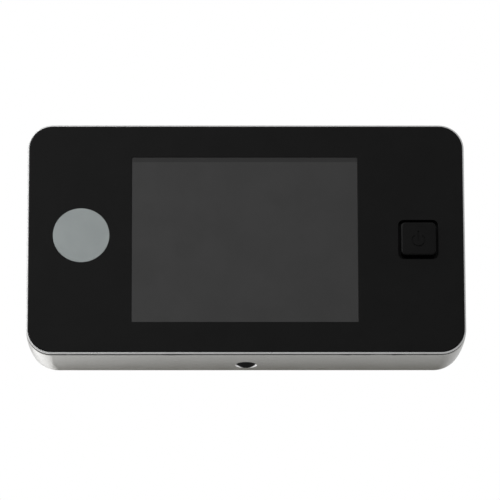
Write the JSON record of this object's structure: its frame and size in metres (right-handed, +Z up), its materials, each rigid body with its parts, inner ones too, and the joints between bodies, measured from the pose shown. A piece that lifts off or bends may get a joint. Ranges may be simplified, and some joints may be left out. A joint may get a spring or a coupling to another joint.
{
  "type": "peephole door camera",
  "caption": "Digital door viewer: flat indoor screen unit with a power button, on a door bracket, and a small camera on a threaded barrel that clamps through the peephole hole.",
  "frame": {"origin": "camera barrel's axis at the indoor face of the door, in the plane of the bracket's back", "axes": "+X to the right seen from indoors, +Y out through the door along the barrel, +Z up"},
  "size_m": [0.1278, 0.0777, 0.07],
  "materials": {
    "panel_black": "fine matt black, slightly satin",
    "button_black": "satin black",
    "case_silver": "satin silver paint on moulded plastic",
    "rim_silver": "bright satin silver",
    "disc_grey": "plain light grey print, satin",
    "screen_grey": "smoked clear pane, dark grey over the display when off",
    "screen_glass": "dark display glass",
    "steel": "zinc plated sheet steel",
    "screw_steel": "nickel plated",
    "foam_black": "closed cell foam",
    "inner_white": "white diffuser plastic",
    "inner_black": "moulded black",
    "board_green": "green solder mask",
    "flex_amber": "amber polyimide ribbon",
    "capacitor_can": "bright can",
    "cell_wrap": "plain printed sleeve",
    "contact_nickel": "nickel plated spring steel",
    "housing_metal": "satin nickel plated brass",
    "sleeve_metal": "nickel plated brass",
    "window_glass": "clear flat glass",
    "lens_glass": "coated lens glass",
    "gasket_rubber": "soft black rubber"
  },
  "bodies": {
    "bracket": {"wall_bracket": "steel"},
    "button": {"power_button": "button_black", "switch_plunger": "inner_white"},
    "cover": {"battery_cover": "case_silver"},
    "lock": {"lock_screw": "screw_steel"},
    "sleeve": {"clamp_sleeve": "sleeve_metal"},
    "camera": {"camera_housing": "housing_metal", "door_gasket": "gasket_rubber", "sensor_board": "board_green", "image_sensor": "inner_black", "sensor_socket": "inner_white", "lens_holder": "inner_black", "lens_rear": "lens_glass", "lens_spacer": "inner_black", "lens_front": "lens_glass", "window_seal": "gasket_rubber", "camera_window": "window_glass", "trim_ring": "housing_metal"},
    "unit": {"front_panel": "panel_black", "silver_rim": "rim_silver", "badge_disc": "disc_grey", "tact_switch": "inner_black", "screen_gasket": "foam_black", "screen_frame": "steel", "window_pane": "screen_grey", "screen_glass": "screen_glass", "screen_backlight": "inner_white", "screen_tail": "flex_amber", "tail_connector": "inner_white", "main_board": "board_green", "board_pads": "foam_black", "board_screws": "screw_steel", "processor": "inner_black", "memory_chip": "inner_black", "capacitors": "capacitor_can", "inductor": "inner_black", "ribbon_socket": "inner_white", "rear_shell": "case_silver", "case_screws": "screw_steel", "contact_springs": "contact_nickel", "positive_terminal": "contact_nickel", "negative_terminal": "contact_nickel", "top_link_plate": "contact_nickel", "bottom_link_plate": "contact_nickel", "battery_cell_1": "cell_wrap", "battery_cell_2": "cell_wrap", "battery_cell_3": "cell_wrap"}
  },
  "joints": [
    {"name": "unit_lift", "type": "slide", "parent": "bracket", "child": "unit", "axis": [0, 0, 1], "range_m": [0, 0.005]},
    {"name": "button_press", "type": "slide", "parent": "unit", "child": "button", "axis": [0, 1, 0], "range_m": [0, 0.0006], "stiffness_N_per_m": 1500, "springref_m": -0.0002},
    {"name": "cover_swing", "type": "hinge", "parent": "unit", "child": "cover", "pos_m": [-0.0447, -0.0005, -0.0255], "axis": [-1, 0, 0], "range_deg": [0, 75]},
    {"name": "lock_travel", "type": "slide", "parent": "unit", "child": "lock", "axis": [0, 0, -1], "range_m": [0, 0.003]},
    {"name": "sleeve_turn", "type": "hinge", "parent": "bracket", "child": "sleeve", "pos_m": [0, 0, 0], "axis": [0, 1, 0], "range_deg": [-5400, 2520]},
    {"name": "camera_slide", "type": "slide", "parent": "bracket", "child": "camera", "axis": [0, 1, 0], "range_m": [-0.007, 0.015]}
  ],
  "couplings": [
    {"joint": "sleeve_turn", "follows": "camera_slide", "rad_per_m": -6283.2}
  ]
}
